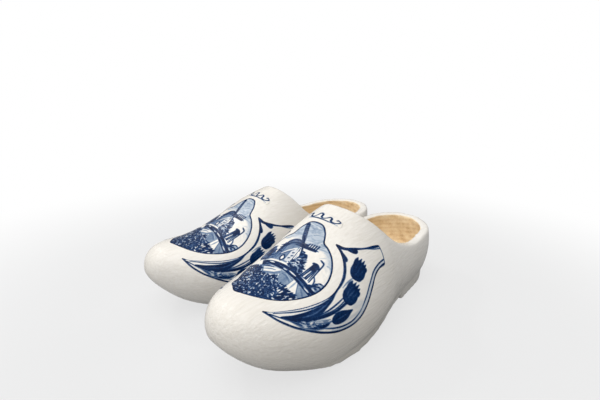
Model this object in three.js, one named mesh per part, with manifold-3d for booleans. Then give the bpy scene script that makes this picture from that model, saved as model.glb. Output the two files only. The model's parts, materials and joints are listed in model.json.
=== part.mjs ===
// A pair of painted wooden clogs. Each clog is carved from one block of poplar, lacquered, and
// decorated with printed transfers. Millimetres, +Z up, toes towards -Y, the left clog at +X.
// A clog is shaped in its own frame: x from the medial to the lateral side, y from the toe tip
// to the back of the heel, z up from the floor. The right clog is the left one in a mirror.
import * as THREE from 'three';
import { mergeVertices } from 'three/addons/utils/BufferGeometryUtils.js';
import Module from 'manifold-3d';

const wasm = await Module();
wasm.setup();

// --- The block, outside ---
const clogLength = 294;            // toe tip to back of heel
const ballWidth = 113;             // greatest width, across the ball of the foot
const instepHeight = 110;          // highest point of the ridge, just in front of the opening
const noseHeight = 45.5;           // height of the toe tip
const noseRoundLength = 70;        // how far back the toe is rounded, seen from above
const noseRoundDepth = 34;         // how far back the toe is rounded, seen from the side
const heelRoundLength = 47;        // how far forward the heel is rounded, seen from above
const heelTuck = 4;                // how far the foot of the heel draws in under its back
const toeSpring = 29;              // lift of the sole under the toe tip
const toeSpringLength = 103;       // where the sole meets the floor
const beltHeights = [36, 45];      // height of the widest line, at mid length and at the heel
const baseBand = 13.5;             // height of the straight band round the foot of the heel
const archHeight = 6.5;            // lift of the sole in front of the heel block
const archStart = 120;             // where the arch leaves the floor, from the toe tip
const heelBreast = 202;            // front face of the heel block, from the toe tip
const ridgeLean = 8;               // how far the instep ridge lies towards the medial side
const endFullness = 2.25;          // squareness of both ends seen from above, 2 being round
const footDrawIn = 0.99;           // width at the floor as a share of the band's, so it tapers
const ridgeEnd = 0.6;              // share of the length where the ridge would meet the rim

// --- The hollow for the foot ---
const toeWood = 28;                // wood in front of the hollow
const sideWall = 8.7;
const toeSideWall = 15;
const heelWall = 10.5;
const roofWood = 11;               // wood over the instep
const noseRoofWood = 19;           // wood over the toes
const ballSole = 15;               // sole under the ball of the foot
const heelSole = 24;               // sole under the heel
const hollowNoseHeight = 38;
const hollowNoseRound = 62;
const hollowHeelRound = 40;
const heelCupRadius = 14;
const hollowEndFullness = 2.2;
const floorFullness = 2.7;         // squareness of the lower half of the hollow, seen from the end
const toeWoodEnd = 0.4;            // share of the length over which wall and roof thin to normal

// --- The transfers ---
const filmGap = 0.3;               // clearance between the lacquer and a film
const filmThickness = 0.35;
const artAxisHeight = 40;          // height of the line that the art is wrapped round
const artCentre = -3.5;            // middle of the art round that line, in degrees

const wedgeShells = 10;            // steps outwards in the walls of the cut that trims a film

// --- The pair ---
const toeOut = 4.3;                // turn of each clog away from the other, in degrees
const pairGap = 2.6;               // closest distance between the two clogs

// --- Fineness of the carved surface ---
const upperSteps = 13;             // facets from the widest line to the ridge
const lowerSteps = 4;              // facets from the widest line down to the base band
const outerRings = 37;
const hollowSteps = 7;             // facets in each quarter of the hollow
const hollowRings = 24;

// A smooth, or a straight, line through the values at the stations, read anywhere between them.
function smoothLine(stations, values) {
  const line = new THREE.CubicInterpolant(stations, values, 1);
  return (station) => line.evaluate(station)[0];
}

function straightLine(stations, values) {
  const line = new THREE.LinearInterpolant(stations, values, 1);
  return (station) => line.evaluate(station)[0];
}

// Stations are shares of the length. Widths are shares of half the ball width, and heights are
// shares of the instep height.
const widthStations = [0, 0.12, 0.24, 0.36, 0.48, 0.6, 0.72, 0.86, 1];
const lateralShares = [0.78, 0.86, 0.97, 1.07, 1.035, 0.915, 0.855, 0.795, 0.68];
const medialShares = [0.67, 0.83, 0.945, 0.925, 0.855, 0.75, 0.735, 0.73, 0.68];
const lateralWidth = smoothLine(widthStations, lateralShares);
const medialWidth = smoothLine(widthStations, medialShares);
const ridgeStations = [0, 0.1, 0.2, 0.3, 0.4, 0.5, ridgeEnd];
const ridgeLine = smoothLine(ridgeStations, [0.67, 0.61, 0.623, 0.74, 0.907, 1, 0.973]);
const rimStations = [0.42, 0.5, 0.58, 0.66, 0.74, 0.84, 0.93, 1];
const rimHeight = smoothLine(rimStations, [1.097, 0.937, 0.714, 0.603, 0.554, 0.568, 0.577, 0.588]);
const bandGrowth = straightLine([0, 0.2, 0.35, 0.6, 0.8, 1], [0, 0.15, 0.67, 0.82, 1, 1]);
const bandInset = straightLine([0, 0.12, 0.25, 1], [0.55, 0.68, 0.88, 0.87]);
const lean = straightLine([0, 0.2, 0.45, 1], [0, 0.1, 1, 0]);
const roundness = straightLine([0, 0.1, 0.45, 1], [2.3, 2.3, 1.9, 1.9]);
const soleThickness = smoothLine([0, 0.2, 0.35, 0.5, 0.65, 0.8, 1], [1.5, 1.1, 0, 0.2, 0.7, 1, 1]);

// The height of the instep ridge, which stays level past its end, where the opening is sawn off.
function ridgeHeight(station) {
  return instepHeight * ridgeLine(Math.min(station, ridgeEnd));
}

// The share of the full size that is left at a distance from an end rounded over a length.
function endRounding(distance, roundLength, fullness) {
  const share = THREE.MathUtils.clamp(distance / roundLength, 0, 1);
  return (1 - (1 - share) ** fullness) ** (1 / fullness);
}

// One quarter of a rounded arch, from its side at 0 to its top at 1.
function archPoint(turn, fullness) {
  const angle = turn * Math.PI / 2;
  return { across: Math.cos(angle) ** (2 / fullness), up: Math.sin(angle) ** (2 / fullness) };
}

// The widest line rises from the toe tip to the belt within the first stretch of the toe.
const beltRise = 60;

function beltHeight(y) {
  const belt = straightLine([0, 0.5, 1], [beltHeights[0], beltHeights[0], beltHeights[1]]);
  return THREE.MathUtils.lerp(noseHeight, belt(y / clogLength), Math.min(y / beltRise, 1));
}

// The flat at the very back of the heel, so that the last ring keeps a width.
const heelFlat = 0.25;

// The outside of the clog at a distance from the toe tip, as a ring of points that starts at the
// lateral foot, goes over the ridge and ends at the medial foot.
function outerRing(y) {
  const station = y / clogLength;
  const heelDistance = clogLength - y + heelFlat;
  const nosePlan = endRounding(y, noseRoundLength, endFullness);
  const plan = nosePlan * endRounding(heelDistance, heelRoundLength, endFullness);
  const profile = endRounding(y, noseRoundDepth, 2);
  const top = THREE.MathUtils.lerp(noseHeight, ridgeHeight(station), profile);
  const spring = toeSpring * Math.max(1 - y / toeSpringLength, 0) ** 2;
  const bottom = THREE.MathUtils.lerp(noseHeight, spring, profile);
  const belt = beltHeight(y);
  const crease = bottom + baseBand * bandGrowth(station);
  const ridge = -ridgeLean * lean(station);
  const inset = bandInset(station);
  const lowerTurn = Math.acos(inset);
  const lowerDepth = (belt - crease) / Math.sin(lowerTurn);
  const tuck = heelTuck * Math.max(1 - (clogLength - y) / heelRoundLength, 0);

  function side(halfWidth) {
    const foot = [new THREE.Vector3(halfWidth * inset * footDrawIn, y - tuck, bottom)];
    for (let step = lowerSteps; step > 0; step -= 1) {
      const turn = lowerTurn * step / lowerSteps;
      const height = belt - lowerDepth * Math.sin(turn);
      foot.push(new THREE.Vector3(halfWidth * Math.cos(turn), y - tuck * step / lowerSteps, height));
    }
    for (let step = 0; step < upperSteps; step += 1) {
      const arch = archPoint(step / upperSteps, roundness(station));
      const x = THREE.MathUtils.lerp(ridge, halfWidth, arch.across);
      foot.push(new THREE.Vector3(x, y, THREE.MathUtils.lerp(belt, top, arch.up)));
    }
    return foot;
  }

  const half = ballWidth / 2 * plan;
  const lateral = side(half * lateralWidth(station));
  const medial = side(-half * medialWidth(station));
  return [...lateral, new THREE.Vector3(ridge, y, top), ...medial.reverse()];
}

// The hollow at a distance from the toe tip, as a closed ring in the same direction.
function hollowRing(y) {
  const station = y / clogLength;
  const fromNose = y - toeWood;
  const fromHeel = clogLength - heelWall - y + heelFlat;
  const nosePlan = endRounding(fromNose, hollowNoseRound, hollowEndFullness);
  const plan = nosePlan * endRounding(fromHeel, hollowHeelRound, hollowEndFullness);
  const profile = endRounding(fromNose, hollowNoseRound / 2, 2);
  const toeShare = Math.max(1 - station / toeWoodEnd, 0);
  const wall = THREE.MathUtils.lerp(sideWall, toeSideWall, toeShare);
  const roof = ridgeHeight(station) - THREE.MathUtils.lerp(roofWood, noseRoofWood, toeShare);
  const sole = THREE.MathUtils.lerp(ballSole, heelSole, soleThickness(station));
  const cup = heelCupRadius * (1 - endRounding(fromHeel, heelCupRadius, 2));
  const top = THREE.MathUtils.lerp(hollowNoseHeight, roof, profile);
  const bottom = THREE.MathUtils.lerp(hollowNoseHeight, sole + cup, profile);
  const belt = THREE.MathUtils.lerp(hollowNoseHeight, beltHeight(y), profile);
  const ridge = -ridgeLean * lean(station);
  const lateral = (ballWidth / 2 * lateralWidth(station) - wall) * plan;
  const medial = (ballWidth / 2 * medialWidth(station) - wall) * plan;
  const ring = [];
  for (let step = 0; step < 4 * hollowSteps; step += 1) {
    const quarter = Math.floor(step / hollowSteps);
    const within = (step % hollowSteps) / hollowSteps;
    const upper = quarter < 2;
    const turn = quarter % 2 === 0 ? within : 1 - within;
    const arch = archPoint(turn, upper ? roundness(station) : floorFullness);
    const halfWidth = quarter === 0 || quarter === 3 ? lateral : -medial;
    const x = THREE.MathUtils.lerp(upper ? ridge : 0, halfWidth, arch.across);
    ring.push(new THREE.Vector3(x, y, THREE.MathUtils.lerp(belt, upper ? top : bottom, arch.up)));
  }
  return ring;
}

// Joins rings into one closed skin, from a tip point to a flat last ring. A set-off moves each
// point out along the skin's own normal.
function skinThrough(tip, rings, setOff = 0) {
  const size = rings[0].length;
  const points = [tip, ...rings.flat()];
  const index = [];
  for (let i = 0; i < size; i += 1) {
    const next = (i + 1) % size;
    index.push(0, 1 + i, 1 + next);
    for (let ring = 0; ring < rings.length - 1; ring += 1) {
      const here = 1 + ring * size;
      const beyond = here + size;
      index.push(here + i, beyond + i, here + next);
      index.push(here + next, beyond + i, beyond + next);
    }
  }
  const last = rings.at(-1);
  const flat = last.map((point) => new THREE.Vector2(point.x, point.z));
  const lastStart = 1 + (rings.length - 1) * size;
  for (const [a, b, c] of THREE.ShapeUtils.triangulateShape(flat, [])) {
    const turn = flat[b].clone().sub(flat[a]).cross(flat[c].clone().sub(flat[a]));
    index.push(lastStart + a, lastStart + (turn > 0 ? c : b), lastStart + (turn > 0 ? b : c));
  }
  const skin = new THREE.BufferGeometry().setFromPoints(points);
  skin.setIndex(index);
  skin.computeVertexNormals();
  const places = skin.getAttribute('position');
  const normals = skin.getAttribute('normal');
  const place = new THREE.Vector3();
  const normal = new THREE.Vector3();
  for (let i = 0; i < places.count; i += 1) {
    place.fromBufferAttribute(places, i).addScaledVector(normal.fromBufferAttribute(normals, i), setOff);
    places.setXYZ(i, place.x, place.y, place.z);
  }
  return skin;
}

// Ring places between two ends, closer together near both of them.
function ringPlaces(start, end, count) {
  return Array.from({ length: count }, (_, i) => {
    const share = (1 - Math.cos(Math.PI * (i + 1) / count)) / 2;
    return THREE.MathUtils.lerp(start, end, share);
  });
}

function solidFrom(geometry) {
  const bare = geometry.clone();
  bare.deleteAttribute('normal');
  bare.deleteAttribute('uv');
  const merged = mergeVertices(bare, 1e-4);
  return new wasm.Manifold(new wasm.Mesh({
    numProp: 3,
    vertProperties: new Float32Array(merged.getAttribute('position').array),
    triVerts: new Uint32Array(merged.getIndex().array),
  }));
}

function geometryFrom(solid) {
  const mesh = solid.getMesh();
  const geometry = new THREE.BufferGeometry();
  geometry.setAttribute('position', new THREE.BufferAttribute(mesh.vertProperties, 3));
  geometry.setIndex(new THREE.BufferAttribute(mesh.triVerts, 1));
  return geometry;
}

// A side outline, drawn as y along and z up, as a slab that reaches past both sides of a clog.
function slabFrom(outline) {
  const slab = new THREE.ExtrudeGeometry(outline, { depth: 2 * ballWidth, bevelEnabled: false });
  slab.translate(0, 0, -ballWidth);
  slab.applyMatrix4(new THREE.Matrix4().makeBasis(
    new THREE.Vector3(0, 1, 0), new THREE.Vector3(0, 0, 1), new THREE.Vector3(1, 0, 0)));
  return solidFrom(slab);
}

// What is sawn off above the rim of the opening.
function openingCut() {
  const above = instepHeight + 60;
  const behind = clogLength + 20;
  const outline = new THREE.Shape();
  outline.moveTo(rimStations[0] * clogLength, above);
  const rimSteps = 24;
  for (let step = 0; step <= rimSteps; step += 1) {
    const station = THREE.MathUtils.lerp(rimStations[0], 1, step / rimSteps);
    outline.lineTo(station * clogLength, instepHeight * rimHeight(station));
  }
  outline.lineTo(behind, instepHeight * rimHeight(1));
  outline.lineTo(behind, above);
  return slabFrom(outline);
}

// What is sawn off under the waist, between the ball of the foot and the heel block.
function archCut() {
  const below = -5;
  const breastSlope = 2;
  const bow = archHeight * 0.3;
  const outline = new THREE.Shape();
  outline.moveTo(archStart, below);
  outline.lineTo(archStart, 0);
  const bowPlace = THREE.MathUtils.lerp(archStart, heelBreast, 0.4);
  outline.quadraticCurveTo(bowPlace, bow, heelBreast - breastSlope, archHeight);
  outline.lineTo(heelBreast, 0);
  outline.lineTo(heelBreast, below);
  return slabFrom(outline);
}

const outerPlaces = ringPlaces(0, clogLength, outerRings);
const outerTip = new THREE.Vector3(0, 0, noseHeight);

function outerSolid(setOff) {
  return solidFrom(skinThrough(outerTip, outerPlaces.map(outerRing), setOff));
}

function hollowSolid() {
  const places = ringPlaces(toeWood, clogLength - heelWall, hollowRings);
  return solidFrom(skinThrough(new THREE.Vector3(0, toeWood, hollowNoseHeight), places.map(hollowRing)));
}

function carvedBody() {
  return geometryFrom(outerSolid(0).subtract(openingCut()).subtract(hollowSolid()).subtract(archCut()));
}

// Art outlines are drawn as shares of the length and degrees round the art axis from its middle.
const medallionToe = [
  [0.119, -42], [0.103, -30], [0.089, -16], [0.094, 0], [0.104, 18], [0.122, 35],
];
const medallionSide = [
  [0.148, 47], [0.177, 54], [0.209, 58], [0.24, 58.6], [0.272, 55.5], [0.303, 48], [0.327, 38],
  [0.34, 28], [0.346, 21], [0.358, 17.5], [0.373, 13.5], [0.389, 6],
];
const tulipPanel = [
  [0.088, 45.5], [0.105, 52], [0.126, 56.5], [0.153, 61], [0.184, 64.5], [0.218, 66.3],
  [0.248, 66.3], [0.274, 64], [0.298, 60], [0.318, 55], [0.338, 47], [0.352, 38],
  [0.362, 28.5], [0.373, 36], [0.396, 41], [0.425, 45], [0.478, 48.3], [0.485, 52],
  [0.476, 64.8], [0.442, 65.8], [0.412, 69], [0.383, 76], [0.354, 83.5], [0.325, 90],
  [0.293, 93.8], [0.259, 94.3], [0.224, 92.5], [0.187, 88], [0.155, 82], [0.125, 74],
  [0.101, 62],
];
const scrollBand = [[0.402, -20], [0.402, 20], [0.43, 20], [0.43, -20]];

// A wedge that radiates from the art axis, with a wrapped outline as its section. Its walls are
// built in shells, each a little wider than the one inside it, so that they stay straight.
function artWedge(outline) {
  const flat = outline.map(([station, degrees]) => new THREE.Vector2(station * clogLength, degrees));
  if (THREE.ShapeUtils.isClockWise(flat)) {
    flat.reverse();
  }
  const innerRadius = instepHeight / 8;
  const outerRadius = instepHeight;
  const points = [];
  for (let shell = 0; shell <= wedgeShells; shell += 1) {
    const radius = innerRadius * (outerRadius / innerRadius) ** (shell / wedgeShells);
    for (const { x: along, y: degrees } of flat) {
      const angle = THREE.MathUtils.degToRad(degrees + artCentre);
      const height = artAxisHeight + radius * Math.cos(angle);
      points.push(new THREE.Vector3(radius * Math.sin(angle), along, height));
    }
  }
  const index = [];
  const size = flat.length;
  const outermost = wedgeShells * size;
  for (const [a, b, c] of THREE.ShapeUtils.triangulateShape(flat, [])) {
    index.push(a, b, c, outermost + a, outermost + c, outermost + b);
  }
  for (let start = 0; start < outermost; start += size) {
    for (let i = 0; i < size; i += 1) {
      const here = start + i;
      const next = start + (i + 1) % size;
      index.push(here, next + size, next, here, here + size, next + size);
    }
  }
  const wedge = new THREE.BufferGeometry().setFromPoints(points);
  wedge.setIndex(index);
  return solidFrom(wedge);
}

function otherSide(outline) {
  return outline.map(([station, degrees]) => [station, -degrees]);
}

const medallion = [...medallionToe, ...medallionSide, ...otherSide(medallionSide).reverse()];

const filmSkin = outerSolid(filmGap + filmThickness).subtract(outerSolid(filmGap));

function film(outline) {
  return geometryFrom(filmSkin.intersect(artWedge(outline)));
}

function mirrored(geometry) {
  const turned = geometry.clone().scale(-1, 1, 1);
  const index = turned.getIndex();
  for (let i = 0; i < index.count; i += 3) {
    const second = index.getX(i + 1);
    index.setX(i + 1, index.getX(i + 2));
    index.setX(i + 2, second);
  }
  return turned;
}

const lacqueredPoplar = { color: 0xebe8e2, roughness: 0.3, metalness: 0 };
const windmillInk = { color: 0x46659a, roughness: 0.3, metalness: 0 };
const tulipInk = { color: 0x2c4478, roughness: 0.3, metalness: 0 };
const scrollInk = { color: 0x2a3c66, roughness: 0.3, metalness: 0 };

// The windmill picture is printed the same way round for both clogs, so on the right clog, which
// is shaped in a mirror, its outline is turned over first.
const leftPieces = [
  ['clog_body', carvedBody(), lacqueredPoplar],
  ['windmill_transfer', film(medallion), windmillInk],
  ['outer_tulip_transfer', film(tulipPanel), tulipInk],
  ['inner_tulip_transfer', film(otherSide(tulipPanel)), tulipInk],
  ['scroll_transfer', film(scrollBand), scrollInk],
];
const rightPieces = leftPieces.with(1, ['windmill_transfer', film(otherSide(medallion)), windmillInk]);

// One clog of the pair, turned toe out and set half the pair's gap from the middle plane.
function clog(side) {
  const group = new THREE.Group();
  for (const [name, geometry, finish] of side === 'left' ? leftPieces : rightPieces) {
    const shape = side === 'left' ? geometry : mirrored(geometry);
    const mesh = new THREE.Mesh(shape, new THREE.MeshStandardMaterial(finish));
    mesh.name = `${side}_${name}`;
    mesh.position.y = -clogLength / 2;
    group.add(mesh);
  }
  const outward = side === 'left' ? 1 : -1;
  group.rotation.z = outward * THREE.MathUtils.degToRad(toeOut);
  const reach = new THREE.Box3().setFromObject(group, true);
  const nearest = side === 'left' ? reach.min.x : -reach.max.x;
  group.position.x = outward * (pairGap / 2 - nearest);
  return group;
}

const pair = new THREE.Group();
pair.add(clog('left'), clog('right'));
pair.position.y = -new THREE.Box3().setFromObject(pair, true).getCenter(new THREE.Vector3()).y;

export default pair;
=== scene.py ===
import json
import math

import bpy
import numpy as np
from mathutils import Matrix, Vector
from mathutils.bvhtree import BVHTree


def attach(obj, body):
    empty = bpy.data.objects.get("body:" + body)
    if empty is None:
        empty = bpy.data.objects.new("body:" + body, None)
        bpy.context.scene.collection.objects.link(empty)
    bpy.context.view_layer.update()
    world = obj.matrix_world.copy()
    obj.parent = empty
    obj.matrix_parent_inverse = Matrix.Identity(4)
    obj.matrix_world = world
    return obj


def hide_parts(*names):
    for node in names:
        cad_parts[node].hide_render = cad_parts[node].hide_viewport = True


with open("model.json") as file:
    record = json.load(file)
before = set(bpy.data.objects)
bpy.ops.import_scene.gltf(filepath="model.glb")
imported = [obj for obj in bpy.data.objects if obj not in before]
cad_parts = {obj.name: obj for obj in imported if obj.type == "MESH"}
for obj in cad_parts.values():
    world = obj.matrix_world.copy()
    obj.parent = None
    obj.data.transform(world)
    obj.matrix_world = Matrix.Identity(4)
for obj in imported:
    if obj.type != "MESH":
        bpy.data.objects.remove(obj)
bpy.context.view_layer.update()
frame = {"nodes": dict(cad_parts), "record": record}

# --- The carved clogs ---
# Each clog is one block of poplar, shaped outside, hollowed through the mouth and sanded. White gloss
# lacquer is sprayed over the outside and the rim and runs out just inside it, so the hollow is bare wood
# that still shows the marks of the spoon knife.
WELD = 0.00001
SANDED_GRAIN = 0.0014            # size of the fine skin's faces
SANDING_SHARE = 0.5              # how far each pass takes the skin
SANDING_PASSES = 14

mounts = {mount["name"]: Vector(mount["pos_m"]) for mount in frame["record"]["mounts"]}
openings = {opening["name"]: opening for opening in frame["record"]["physics"]["openings"]}


def only(piece):
    """Selects one piece and nothing else."""
    bpy.ops.object.select_all(action="DESELECT")
    piece.select_set(True)
    bpy.context.view_layer.objects.active = piece


def finish_modifier(piece, kind, **settings):
    """Adds a modifier to the piece and applies it."""
    only(piece)
    modifier = piece.modifiers.new(kind.lower(), kind)
    for setting, value in settings.items():
        setattr(modifier, setting, value)
    bpy.ops.object.modifier_apply(modifier=modifier.name)


def places(mesh):
    """The places of a mesh's corners, as rows."""
    rows = np.empty(len(mesh.vertices) * 3, np.float32)
    mesh.vertices.foreach_get("co", rows)
    return rows.reshape(-1, 3).astype(float)


def outwards(mesh):
    """The way out of a mesh at each of its corners, as rows."""
    rows = np.empty(len(mesh.vertices) * 3, np.float32)
    mesh.vertex_normals.foreach_get("vector", rows)
    return rows.reshape(-1, 3).astype(float)


def store(mesh, name, values):
    """Keeps a number for each corner of a mesh, for its material to read."""
    mesh.attributes.new(name, "FLOAT", "POINT").data.foreach_set("value", values.astype(np.float32))


class Lie:
    """How a clog lies on the floor: its toe tip, the way to its heel and the way to its own right."""

    def __init__(self, side):
        tread = mounts[side + "_tread"]
        heelwards = mounts[side + "_heel_block"] - tread
        self.heelwards = np.array(heelwards.normalized())
        self.rightwards = np.array([self.heelwards[1], -self.heelwards[0], 0.0])
        along = (places(frame["nodes"][side + "_clog_body"].data) - np.array(tread)) @ self.heelwards
        self.toe = np.array(tread) + along.min() * self.heelwards
        self.length = along.max() - along.min()
        self.turn = math.atan2(-self.heelwards[0], self.heelwards[1])


def opening_centre(name):
    """The middle of one of the rooms that the foot takes up in the hollow."""
    return np.mean(openings[name]["box_m"], axis=0)


def hollow_share(side, mesh):
    """1 where the skin faces into the hollow, 0 where it faces out, and between them on the rim."""
    line = [opening_centre(f"{side}_{room}_room") for room in ("toe", "ball", "heel")]
    stops = [point[1] for point in line]
    at = places(mesh)
    middle = np.stack([np.interp(at[:, 1], stops, [point[axis] for point in line]) for axis in range(3)], 1)
    inwards = middle - at
    inwards /= np.linalg.norm(inwards, axis=1)[:, None]
    return np.clip(0.5 + 0.5 * (outwards(mesh) * inwards).sum(1), 0, 1)


def carved(side):
    """One clog, carved and sanded, with the part of it that is hollow marked."""
    block = frame["nodes"][side + "_clog_body"]
    clog = bpy.data.objects.new(side + "_clog", block.data.copy())
    bpy.context.scene.collection.objects.link(clog)
    only(clog)
    bpy.ops.object.mode_set(mode="EDIT")
    bpy.ops.mesh.select_all(action="SELECT")
    bpy.ops.mesh.remove_doubles(threshold=WELD)
    bpy.ops.object.mode_set(mode="OBJECT")
    finish_modifier(clog, "REMESH", mode="VOXEL", voxel_size=SANDED_GRAIN)
    finish_modifier(clog, "SMOOTH", factor=SANDING_SHARE, iterations=SANDING_PASSES)
    bpy.ops.object.shade_smooth()
    store(clog.data, "hollow", hollow_share(side, clog.data))
    return clog


class Finish:
    """A material that is put together node by node."""

    def __init__(self, name):
        self.material = bpy.data.materials.new(name)
        self.material.use_nodes = True
        self.nodes = self.material.node_tree.nodes
        self.links = self.material.node_tree.links
        self.shader = self.nodes["Principled BSDF"]

    def add(self, kind, values=None, **settings):
        """Adds a node, with numbers or links on its sockets."""
        node = self.nodes.new(kind)
        for setting, value in settings.items():
            setattr(node, setting, value)
        for socket, value in (values or {}).items():
            if isinstance(value, bpy.types.NodeSocket):
                self.links.new(value, node.inputs[socket])
            else:
                node.inputs[socket].default_value = value
        return node

    def along_grain(self, turn, stretch):
        """Object coordinates turned with the clog, and drawn out along the grain."""
        where = self.add("ShaderNodeTexCoord").outputs["Object"]
        turned = self.add("ShaderNodeMapping", {"Vector": where, "Rotation": (0, 0, -turn)})
        drawn_out = {"Vector": turned.outputs[0], "Scale": (1, 1 / stretch, 1)}
        return self.add("ShaderNodeMapping", drawn_out).outputs[0]

    def noise(self, where, scale, detail=2.0, roughness=0.5):
        """Soft random blotches, the finer the larger the scale."""
        values = {"Vector": where, "Scale": scale, "Detail": detail, "Roughness": roughness}
        return self.add("ShaderNodeTexNoise", values).outputs["Fac"]

    def attribute(self, name):
        return self.add("ShaderNodeAttribute", attribute_name=name).outputs["Fac"]

    def number(self, operation, first, second):
        return self.add("ShaderNodeMath", {0: first, 1: second}, operation=operation).outputs[0]

    def spread(self, value, low, high, to_low=0.0, to_high=1.0):
        """Takes a value from one range to another, and holds it there."""
        values = {"Value": value, "From Min": low, "From Max": high, "To Min": to_low, "To Max": to_high}
        return self.add("ShaderNodeMapRange", values).outputs["Result"]

    def tones(self, value, stops):
        """A run of colours, each at its place."""
        ramp = self.add("ShaderNodeValToRGB", {"Fac": value})
        elements = ramp.color_ramp.elements
        while len(elements) < len(stops):
            elements.new(0.5)
        for element, (place, colour) in zip(elements, stops):
            element.position = place
            element.color = (*colour, 1)
        return ramp.outputs["Color"]

    def mix(self, share, first, second):
        """One colour where the share is 0, the other where it is 1."""
        values = {"Factor": share, 6: first, 7: second}
        return self.add("ShaderNodeMix", values, data_type="RGBA").outputs[2]

    def bump(self, height, depth, strength=1.0, under=None):
        """A relief of a real depth, on top of another one."""
        values = {"Height": height, "Distance": depth, "Strength": strength}
        if under is not None:
            values["Normal"] = under
        return self.add("ShaderNodeBump", values).outputs["Normal"]

    def put_on(self, piece):
        """Makes this the only finish of a piece."""
        piece.data.materials.clear()
        piece.data.materials.append(self.material)


LACQUER = (0.83, 0.805, 0.765)
LACQUER_SHADE = (0.75, 0.715, 0.66)
LACQUER_ROUGHNESS = (0.12, 0.24)
LACQUER_IOR = 1.34
LACQUER_SPECULAR = 0.24
LACQUER_RUN = (0.38, 0.62)       # where the white starts to turn to its shade, and where it has turned
CLOUD_SCALE, CLOUD_STRETCH, CLOUD_SHARE = 14, 2, 0.55
STREAK_SCALE, STREAK_STRETCH, STREAK_SHARE = 520, 9, 0.45
STREAK_DEPTH, STREAK_STRENGTH = 0.0006, 0.9
SAG_SCALE, SAG_STRETCH, SAG_DEPTH, SAG_STRENGTH = 38, 1.5, 0.0012, 0.3
SHEEN_SCALE = 90
NOISE_RUN = (0.3, 0.7)           # where nearly all of a noise lies


def lacquer(finish, turn):
    """Brushed white gloss lacquer, which lets a little of the grain show through as ripples."""
    grain = finish.along_grain(turn, STREAK_STRETCH)
    clouds = finish.noise(finish.along_grain(turn, CLOUD_STRETCH), CLOUD_SCALE, 3)
    streaks = finish.noise(grain, STREAK_SCALE, 3, 0.6)
    thickness = finish.number("ADD", finish.number("MULTIPLY", clouds, CLOUD_SHARE),
                              finish.number("MULTIPLY", streaks, STREAK_SHARE))
    colour = finish.tones(thickness, [(LACQUER_RUN[0], LACQUER), (LACQUER_RUN[1], LACQUER_SHADE)])
    sags = finish.noise(finish.along_grain(turn, SAG_STRETCH), SAG_SCALE, 1)
    roughness = finish.spread(finish.noise(grain, SHEEN_SCALE, 3), *NOISE_RUN, *LACQUER_ROUGHNESS)
    relief = finish.bump(streaks, STREAK_DEPTH, STREAK_STRENGTH, finish.bump(sags, SAG_DEPTH, SAG_STRENGTH))
    return colour, roughness, relief


POPLAR = [(0.32, (0.58, 0.405, 0.225)), (0.44, (0.76, 0.585, 0.365)),
          (0.55, (0.85, 0.695, 0.475)), (0.68, (0.92, 0.80, 0.60))]
THIN_LACQUER = (0.84, 0.76, 0.63)
PITH = (0, 0, -0.30)             # the middle of the trunk, in the clog's own directions
RING_SCALE = 60                  # a growth ring every 5 mm or so
RING_STRETCH, RING_SHARE = 6, 0.08
RING_WANDER = {"Distortion": 1.4, "Detail": 1.0, "Detail Scale": 0.5}
FIBRE_SCALE, FIBRE_STRETCH, FIBRE_SHARE = 700, 30, 0.3
BAND_SCALE, BAND_STRETCH, BAND_SHARE = 110, 16, 0.6
WOOD_ROUGHNESS = (0.5, 0.68)
FIBRE_DEPTH, FIBRE_STRENGTH = 0.0004, 0.7
KNIFE_SCALE, KNIFE_STRETCH, KNIFE_DEPTH, KNIFE_STRENGTH = 60, 1.6, 0.0015, 0.5
SEALER_LINE = 0.66               # how far round the rim the lacquer runs, as a share of the turn inwards
RAGGED_SCALE, RAGGED_STRETCH, RAGGED = 120, 2, (-0.06, 0.06)
THIN_BAND, BARE_BAND = 0.2, 0.12       # widths of the thin lacquer before that line and the change after it
THIN_SHARE = 0.55


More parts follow.
